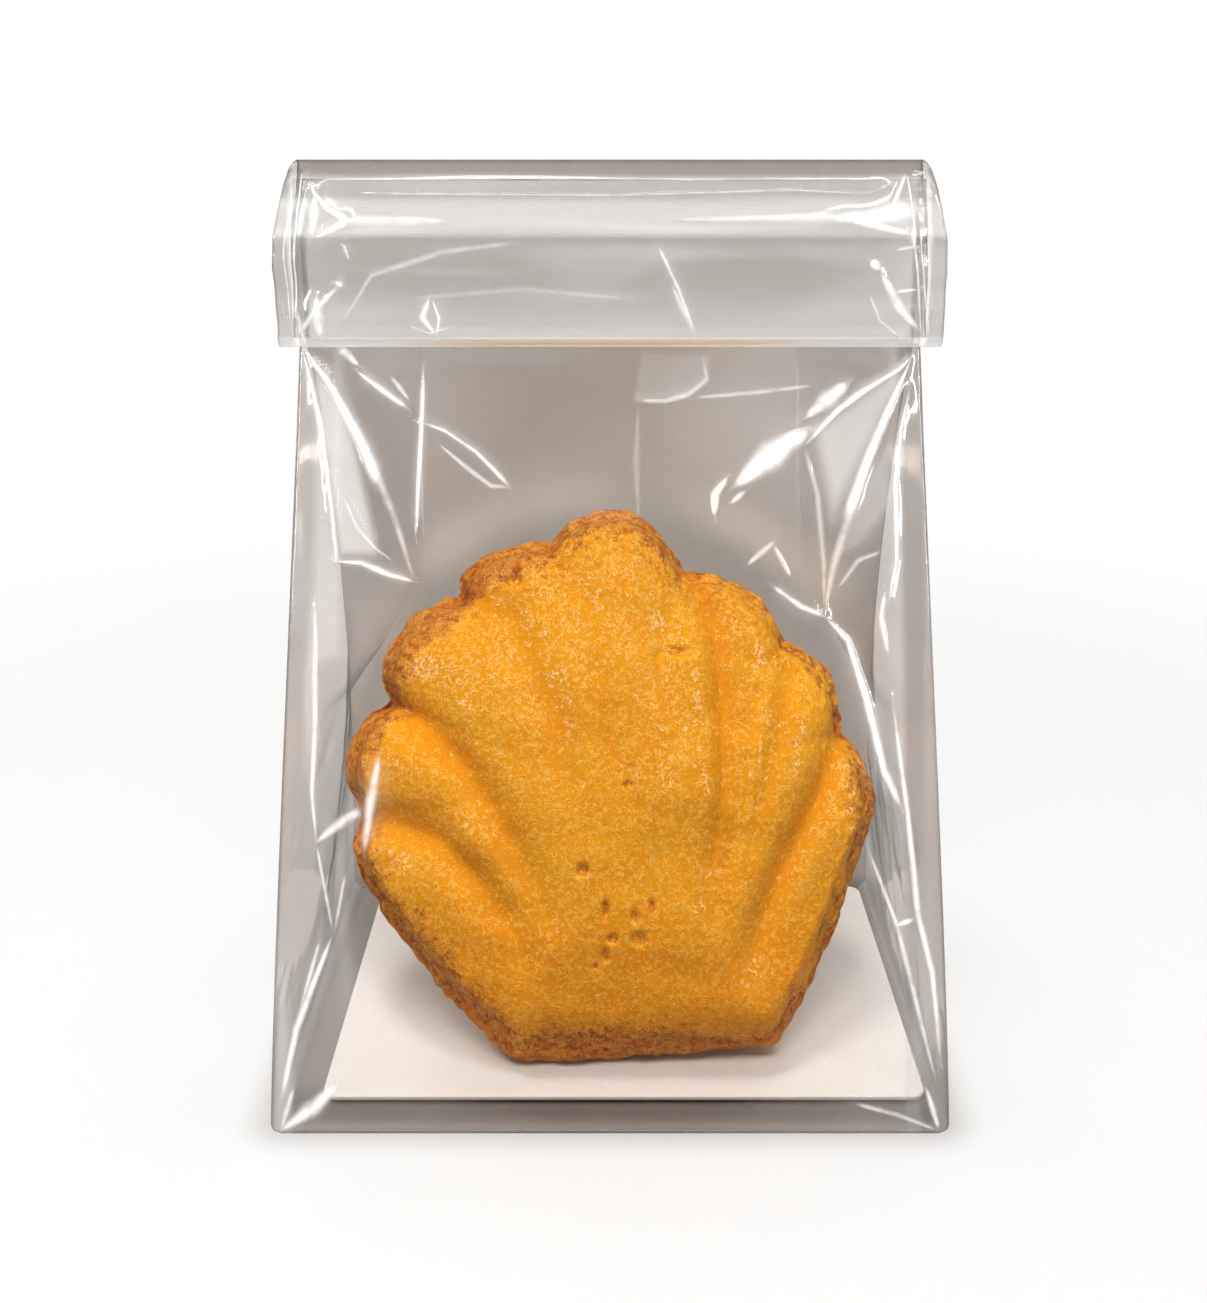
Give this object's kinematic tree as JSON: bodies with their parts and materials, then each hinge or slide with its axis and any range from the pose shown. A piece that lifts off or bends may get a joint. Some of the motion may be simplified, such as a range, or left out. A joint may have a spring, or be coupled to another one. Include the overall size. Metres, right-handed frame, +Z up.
{
  "type": "madeleine cake in a clear bag",
  "caption": "Golden scallop-shaped madeleine standing on a pale card inside a clear gusseted film bag with a folded header",
  "frame": {"origin": "middle of the bag's flat base, on the surface it stands on", "axes": "+X to the right across the front panel, +Y from the front panel to the back one, +Z up"},
  "size_m": [0.085, 0.062, 0.118],
  "materials": {
    "clear_film": "clear glossy film with a faint warm grey cast and sharp creases",
    "cake_crumb": "golden sponge with a browned rim, soft and faintly moist",
    "pale_card": "smooth uncoated white card"
  },
  "bodies": {
    "root": {"bag": "clear_film"}
  },
  "joints": []
}
